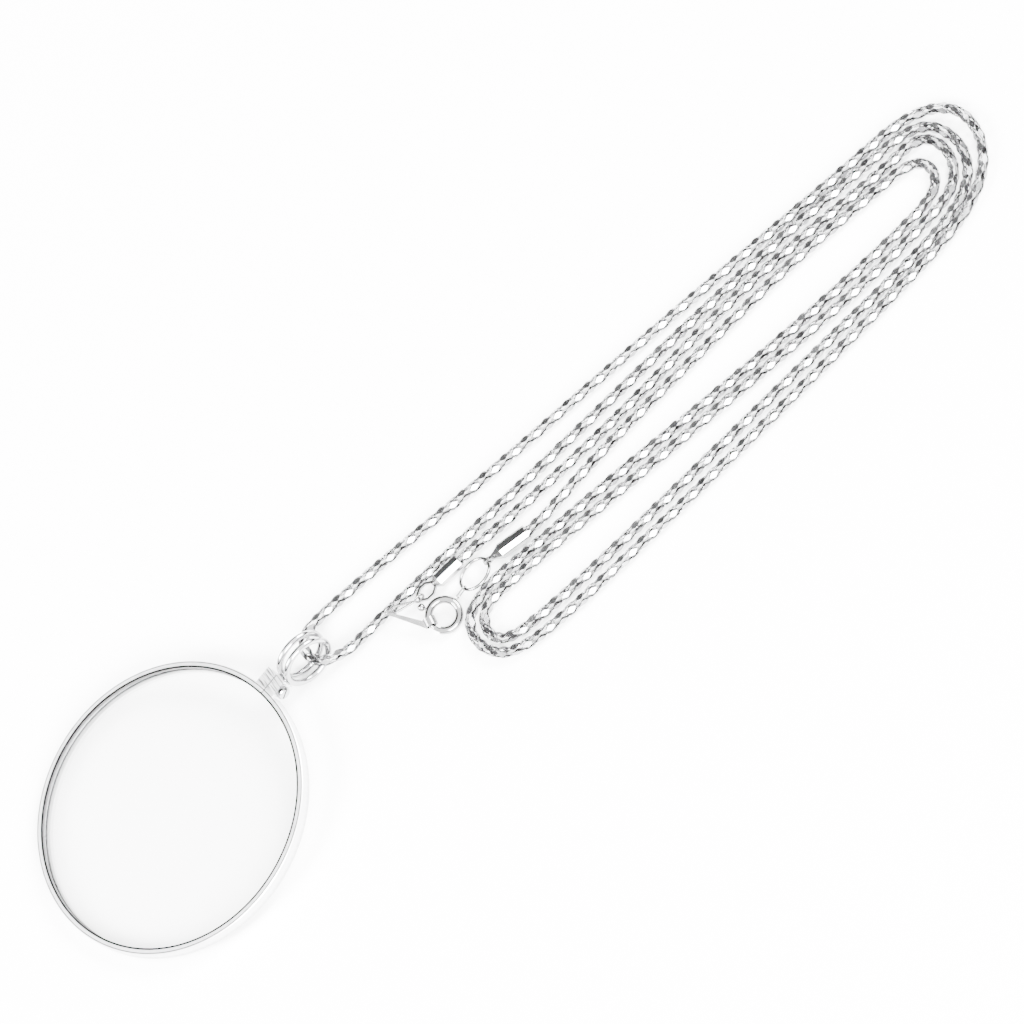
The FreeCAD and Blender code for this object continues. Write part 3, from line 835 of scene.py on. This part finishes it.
@dataclass(frozen=True)
class Studio:
    """A plain pale floor, a soft room and a long lens looking down at the table."""

    surface: PaleSurface
    lights: tuple[Softbox, ...]
    floor_side: float = 4.0
    floor_drop: float = 0.00003
    frame_width: float = 0.1552
    distance: float = 1.4
    sensor: float = 36.0
    height_angle: float = math.radians(56.6)
    yaw: float = math.radians(10.0)
    roll: float = math.radians(50.5)
    aim: Point = (0.000115, 0.00058, 0.0)
    drop: float = 0.0003
    room_tone: float = 8.0
    dark_part: float = 0.97
    dark_place: Point = (-0.12, 0.53, 0.84)
    dark_edge: float = math.cos(math.radians(27.0))
    dark_core: float = math.cos(math.radians(15.0))
    far_part: float = 0.95
    far_edge: float = 0.28
    far_core: float = 0.46
    low_part: float = 0.97
    low_edge: float = 0.38
    low_core: float = 0.22

    def build(self) -> None:
        """Build the floor, the room, the lights and the camera."""
        self.build_floor()
        self.build_room()
        for light in self.lights:
            light.build()
        self.build_camera()

    def build_floor(self) -> None:
        """Lay the floor just under the object."""
        half = self.floor_side / 2
        mesh = bpy.data.meshes.new("floor")
        corners = [(-half, -half), (half, -half), (half, half), (-half, half)]
        mesh.from_pydata([(x, y, -self.floor_drop) for x, y in corners], [], [(0, 1, 2, 3)])
        floor = bpy.data.objects.new("floor", mesh)
        mesh.materials.append(self.surface.build())
        bpy.context.scene.collection.objects.link(floor)

    def build_room(self) -> None:
        """A pale room, darker overhead, behind the table and low down round its walls."""
        world = bpy.data.worlds.new("room")
        bpy.context.scene.world = world
        tree = Tree(world)
        way = tree.add("VectorMath", operation="NORMALIZE")
        tree.join(tree.add("TexCoord").outputs["Generated"], way.inputs[0])
        near = tree.add("VectorMath", operation="DOT_PRODUCT")
        near.inputs[1].default_value = Vector(self.dark_place).normalized()
        tree.join(way.outputs["Vector"], near.inputs[0])
        edge, core = self.dark_edge, self.dark_core
        patch = tree.span(near.outputs["Value"], 1.0, 1.0 - self.dark_part, edge, core)
        split = tree.add("SeparateXYZ")
        tree.join(way.outputs["Vector"], split.inputs["Vector"])
        walls = tree.span(split.outputs["Z"], 1.0 - self.low_part, 1.0, self.low_core, self.low_edge)
        far = tree.span(split.outputs["Y"], 1.0, 1.0 - self.far_part, self.far_edge, self.far_core)
        tone = tree.add("Math", operation="MULTIPLY")
        tree.join(self.darker(tree, self.darker(tree, patch, walls), far), tone.inputs[0])
        tone.inputs[1].default_value = self.room_tone
        back = tree.add("Background")
        back.inputs["Color"].default_value = (1.0, 1.0, 1.0, 1.0)
        tree.join(tone.outputs["Value"], back.inputs["Strength"])
        tree.join(back.outputs["Background"], tree.add("OutputWorld").inputs["Surface"])

    def darker(self, tree: Tree, one: bpy.types.NodeSocket,
               other: bpy.types.NodeSocket) -> bpy.types.NodeSocket:
        """Take whichever of two tones is darker.

        Args:
            tree: the room's tree.
            one: one tone.
            other: the other tone.

        Returns:
            The darker tone.
        """
        node = tree.add("Math", operation="MINIMUM")
        tree.join(one, node.inputs[0])
        tree.join(other, node.inputs[1])
        return node.outputs["Value"]

    def build_camera(self) -> None:
        """Set the camera at the photograph's angle above the table."""
        sin_up, cos_up = math.sin(self.height_angle), math.cos(self.height_angle)
        yaw = Matrix.Rotation(self.yaw, 3, "Z")
        right = yaw @ Vector((1.0, 0.0, 0.0))
        upward = yaw @ Vector((0.0, sin_up, cos_up))
        towards = yaw @ Vector((0.0, -cos_up, sin_up))
        cos_roll, sin_roll = math.cos(self.roll), math.sin(self.roll)
        across = right * cos_roll - upward * sin_roll
        above = right * sin_roll + upward * cos_roll
        lens = bpy.data.cameras.new("camera")
        lens.sensor_width = self.sensor
        lens.lens = self.sensor * self.distance / self.frame_width
        holder = bpy.data.objects.new("camera", lens)
        turn = Matrix((across, above, towards)).transposed().to_4x4()
        spot = Vector(self.aim) - above * self.drop + towards * self.distance
        holder.matrix_world = Matrix.Translation(spot) @ turn
        bpy.context.scene.collection.objects.link(holder)
        bpy.context.scene.camera = holder


# Routes: the chain as it lies, from each cap to the bail

CATCH_ROUTE = ChainRoute(ChainSide.CATCH, (
    (-12.6, -1.1, 1.15), (-9.0, -1.0, 1.13), (-3.0, -1.3, 0.95), (7.8, -1.3), (23.7, -0.8),
    (44.6, 1.0), (61.4, 0.8), (75.7, -0.1), (83.9, 0.4), (86.0, -5.3), (83.1, -10.8),
    (75.7, -12.2), (60.8, -12.9), (39.1, -12.1), (11.4, -10.8), (-4.4, -10.0), (-12.4, -9.9),
    (-14.7, -14.0), (-12.7, -17.5), (-5.8, -18.1), (7.1, -18.1), (30.9, -17.1), (54.7, -16.0),
    (66.6, -15.6), (79.1, -14.5), (85.9, -11.3), (88.2, -4.5), (85.0, 2.4), (73.3, 2.7),
    (59.5, 3.3), (35.8, 2.9), (10.0, 1.8), (-8.0, 1.45), (-19.5, 1.0), (-27.0, 0.8),
    (-32.5, 0.1, 1.3), (-36.7, 0.7, 2.6), (-38.3, 3.5, 2.6), (-37.6, 5.4, 2.25),
))
RING_ROUTE = ChainRoute(ChainSide.RING, (
    (-37.6, 5.4, 2.25), (-36.9, 7.3, 1.9), (-33.0, 8.35, 1.15), (-27.2, 8.35), (-17.0, 8.0),
    (1.5, 6.95), (33.9, 6.3), (57.6, 5.3), (71.4, 4.7), (84.3, 4.6), (90.6, 0.4), (91.3, -6.2),
    (87.7, -12.5), (80.0, -16.2), (66.5, -17.7), (42.7, -19.3), (16.9, -20.4), (-2.9, -21.0),
    (-13.3, -20.1), (-16.8, -15.4), (-15.8, -9.7), (-9.9, -7.5), (-1.4, -8.1), (13.5, -8.4),
    (37.2, -9.8), (56.0, -10.4), (71.8, -10.2), (80.0, -9.4), (82.4, -5.8), (80.4, -2.2),
    (72.2, -1.9), (57.4, -1.2), (35.5, -2.3), (16.4, -3.5), (6.6, -4.9, 0.96),
    (1.6, -5.65, 1.13), (-1.4, -5.35, 1.15),
))

# The silver of each polished piece: its darkest and lightest tone, and how smooth it is.
# The tones are one silver darkened by a different amount for each piece: painted shade that
# tones down the highlights and stands in for the dark reflections on each piece.

BAIL_SILVER = Silver("polished_silver", dark=(0.26, 0.26, 0.265), light=(0.46, 0.46, 0.465))
CAP_SILVER = Silver(
    "cap_silver", dark=(0.26, 0.26, 0.26), light=(0.42, 0.42, 0.42),
    smooth=0.12, rough=0.2, mark_depth=0.0000006)
RING_SILVER = Silver("ring_silver", dark=(0.14, 0.14, 0.14), light=(0.30, 0.30, 0.30))
STRIP_SILVER = Silver(
    "strip_silver", dark=(0.08, 0.08, 0.08), light=(0.28, 0.28, 0.28), smooth=0.2, rough=0.34)

# The soft lights: two at the sides, and a larger one behind the camera

SOFTBOXES = (
    Softbox("near_side", (-0.1, -1.35, 1.0), (0.0, 0.0, 0.0), 0.9, 240.0),
    Softbox("left_side", (-1.3, 0.2, 1.0), (0.0, 0.0, 0.0), 0.7, 160.0),
    Softbox("right_side", (1.3, 0.1, 1.0), (0.0, 0.0, 0.0), 0.7, 160.0),
)


def main() -> None:
    """Build and dress the whole scene."""
    logging.basicConfig(level=logging.INFO, format="%(name)s: %(message)s")
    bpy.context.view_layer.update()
    Pendant(BezelSilver("satin_bezel_silver"), ClearGlass("clear_glass"), BAIL_SILVER).build()
    Clasp(caps=CAP_SILVER, rings=RING_SILVER, strip=STRIP_SILVER).build()
    Chain((CATCH_ROUTE, RING_ROUTE), HollowLink(), LinkRun(), LinkSilver("chain_silver")).build()
    Studio(PaleSurface("pale_surface"), SOFTBOXES).build()


if __name__ == "__main__":
    main()
